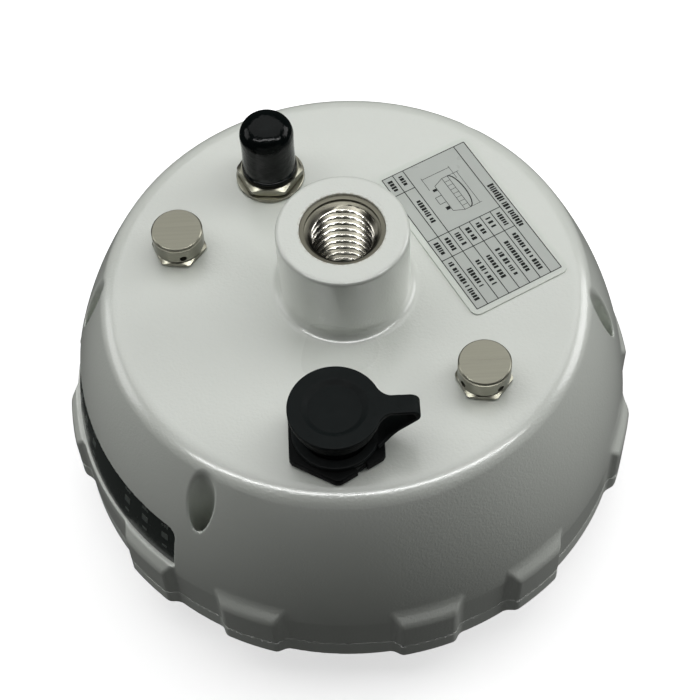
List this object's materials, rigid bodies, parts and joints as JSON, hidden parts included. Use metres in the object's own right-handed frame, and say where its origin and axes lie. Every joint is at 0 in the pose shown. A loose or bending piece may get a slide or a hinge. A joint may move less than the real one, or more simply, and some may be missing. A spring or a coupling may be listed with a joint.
{
  "type": "gnss receiver",
  "caption": "Round satellite positioning receiver lying on its dome, with a threaded pole boss, capped antenna and data ports, vent plugs and a side indicator window.",
  "frame": {"origin": "centre of the small flat on top of the dome, the lowest point as the receiver lies on its dome", "axes": "+Z along the pole thread, out of its mouth; -Y towards the data port; in service the receiver is turned over, so that -Z points to the sky"},
  "size_m": [0.1376, 0.1368, 0.09],
  "materials": {
    "white_paint": "satin",
    "radome_plastic": "satin",
    "stainless_steel": "satin",
    "nickel": "satin",
    "brass": "satin",
    "black_vinyl": "gloss",
    "black_rubber": "matte",
    "black_plastic": "satin",
    "smoked_plastic": "gloss",
    "led_plastic": "satin",
    "label_film": "satin",
    "white_insulator": "matte",
    "circuit_board": "satin",
    "shield_metal": "satin",
    "ceramic": "matte",
    "aluminium": "satin",
    "cable_jacket": "matte",
    "zinc_steel": "satin"
  },
  "bodies": {
    "receiver": {"lower_housing": "white_paint", "top_cover": "radome_plastic", "housing_seal": "black_rubber", "housing_screw_1": "zinc_steel", "housing_screw_2": "zinc_steel", "housing_screw_3": "zinc_steel", "housing_screw_4": "zinc_steel", "thread_insert": "stainless_steel", "indicator_window": "smoked_plastic", "indicator_board": "circuit_board", "indicator_cable": "cable_jacket", "status_led_1": "led_plastic", "status_led_2": "led_plastic", "status_led_3": "led_plastic", "status_led_4": "led_plastic", "status_led_5": "led_plastic", "status_led_6": "led_plastic", "name_label": "label_film", "antenna_connector": "nickel", "antenna_nut": "nickel", "antenna_washer": "nickel", "antenna_seal": "black_rubber", "antenna_insulator": "white_insulator", "antenna_contact": "brass", "left_vent_body": "nickel", "left_vent_cap": "nickel", "left_vent_membrane": "white_insulator", "right_vent_body": "nickel", "right_vent_cap": "nickel", "right_vent_membrane": "white_insulator", "data_connector": "black_plastic", "data_connector_nut": "zinc_steel", "data_seal": "black_rubber", "data_pin_carrier": "black_plastic", "data_pin_1": "brass", "data_pin_2": "brass", "data_pin_3": "brass", "data_pin_4": "brass", "cap_strap": "black_rubber", "strap_ring": "black_rubber", "main_board": "circuit_board", "board_screw_1": "zinc_steel", "board_screw_2": "zinc_steel", "board_screw_3": "zinc_steel", "board_screw_4": "zinc_steel", "gnss_module": "shield_metal", "radio_module": "shield_metal", "power_converter": "black_plastic", "board_header": "white_insulator", "antenna_plate": "aluminium", "antenna_spacer_1": "brass", "antenna_spacer_2": "brass", "antenna_spacer_3": "brass", "lower_patch": "ceramic", "upper_patch": "ceramic", "radio_coax": "cable_jacket", "antenna_coax": "cable_jacket", "data_harness": "cable_jacket"},
    "antenna_cap_body": {"antenna_cap": "black_vinyl"},
    "dust_cap_body": {"dust_cap": "black_rubber"}
  },
  "joints": [
    {"name": "antenna_cap_pull", "type": "slide", "parent": "receiver", "child": "antenna_cap_body", "axis": [0, 0, 1], "range_m": [0, 0.025]},
    {"name": "dust_cap_flip", "type": "hinge", "parent": "receiver", "child": "dust_cap_body", "pos_m": [0.0123, -0.0406, 0.07995], "axis": [0, 1, 0], "range_deg": [0, 165], "deforming": ["cap_strap"]}
  ]
}
